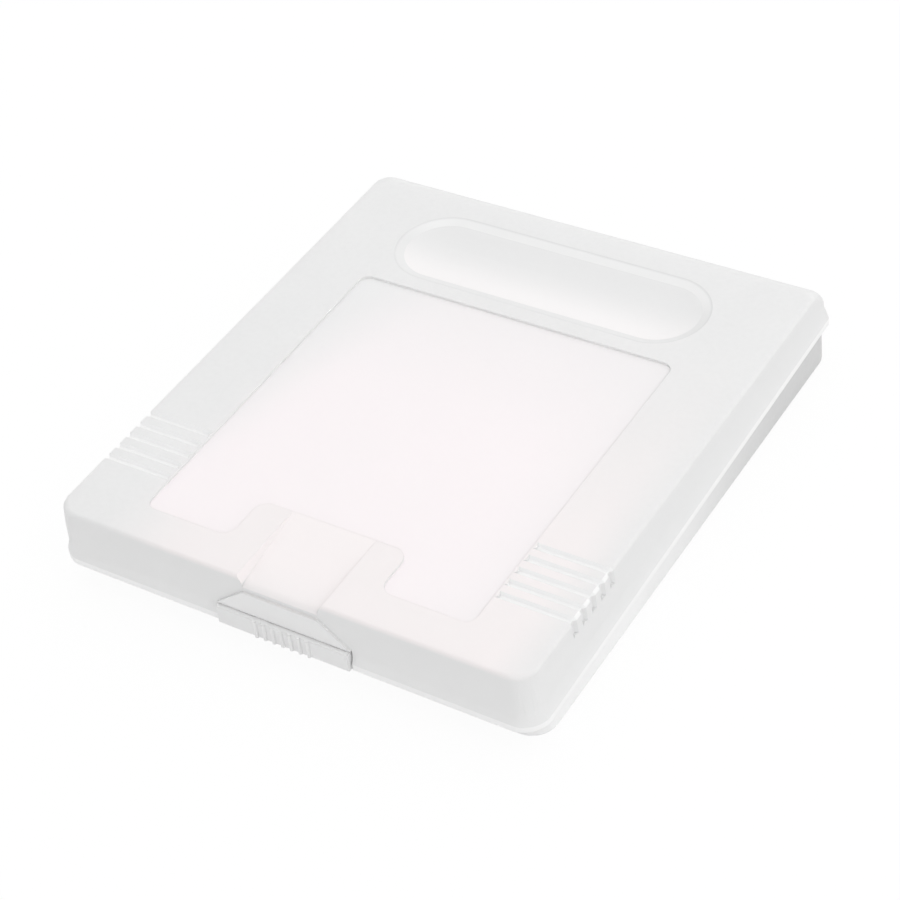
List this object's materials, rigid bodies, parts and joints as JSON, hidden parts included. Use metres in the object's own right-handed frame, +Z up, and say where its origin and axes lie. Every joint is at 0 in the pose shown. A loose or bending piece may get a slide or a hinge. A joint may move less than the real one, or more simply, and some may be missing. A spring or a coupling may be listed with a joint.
{
  "type": "game cartridge case",
  "caption": "Flat clamshell case of frosted plastic for one handheld game cartridge, with a bending web as hinge and a snap catch in front.",
  "frame": {"origin": "on the table, under the middle of the closed case", "axes": "+X to the right seen from the catch, +Y from the catch to the hinge, +Z up through the lid"},
  "size_m": [0.0632, 0.0722, 0.0102],
  "materials": {
    "frosted_plastic": "frosted, translucent"
  },
  "bodies": {
    "tray": {"base_tray": "frosted_plastic", "hinge_web": "frosted_plastic"},
    "cover": {"lid": "frosted_plastic"}
  },
  "joints": [
    {"name": "lid_hinge", "type": "hinge", "parent": "tray", "child": "cover", "pos_m": [0, 0.03603, 0.0051], "axis": [-1, 0, 0], "range_deg": [0, 180], "deforming": ["hinge_web"]}
  ]
}
